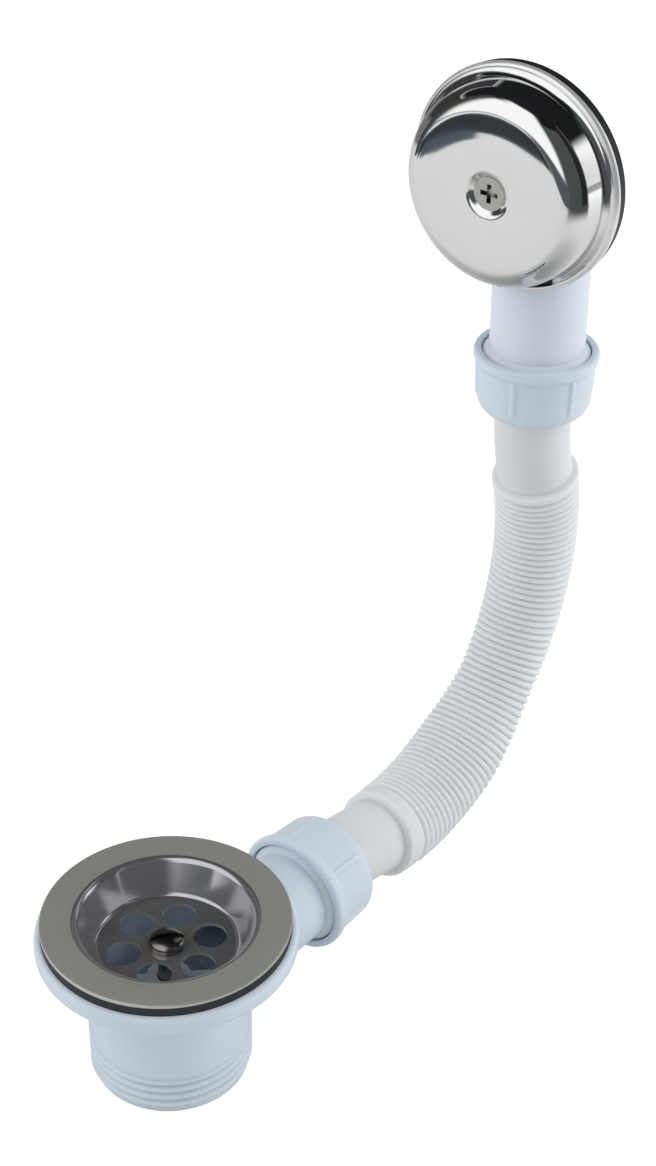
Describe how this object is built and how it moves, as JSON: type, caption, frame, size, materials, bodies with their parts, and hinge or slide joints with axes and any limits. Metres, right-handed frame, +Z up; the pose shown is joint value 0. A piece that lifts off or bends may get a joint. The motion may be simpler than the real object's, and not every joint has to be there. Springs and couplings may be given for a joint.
{
  "type": "bath waste and overflow",
  "caption": "Bath waste with a steel strainer, threaded plastic tail and side branch, joined by a corrugated hose to an overflow elbow behind a domed steel plate.",
  "frame": {"origin": "middle of the tail's open end, on the axis of its outlet thread", "axes": "+Z up along the waste's axis, +X along the side branch towards the overflow, +Y completes the right hand"},
  "size_m": [0.2281, 0.0756, 0.2636],
  "materials": {
    "satin_steel": "satin flange with a polished bowl",
    "polished_steel": "mirror polished",
    "screw_steel": "turned",
    "white_moulding": "smooth moulded",
    "milky_hose": "milky, slightly translucent",
    "black_rubber": "satin",
    "slip_plastic": "plain",
    "brass": "turned"
  },
  "bodies": {
    "root": {"strainer": "satin_steel", "strainer_screw": "screw_steel", "body_seal": "black_rubber", "waste_body": "white_moulding", "strainer_insert": "brass", "branch_nut": "white_moulding", "branch_cone_seal": "black_rubber", "branch_slip_ring": "slip_plastic", "hose": "milky_hose", "overflow_nut": "white_moulding", "overflow_cone_seal": "black_rubber", "overflow_slip_ring": "slip_plastic", "overflow_elbow": "white_moulding", "overflow_insert": "brass", "overflow_seal": "black_rubber", "overflow_plate": "polished_steel", "overflow_screw": "screw_steel"}
  },
  "joints": []
}
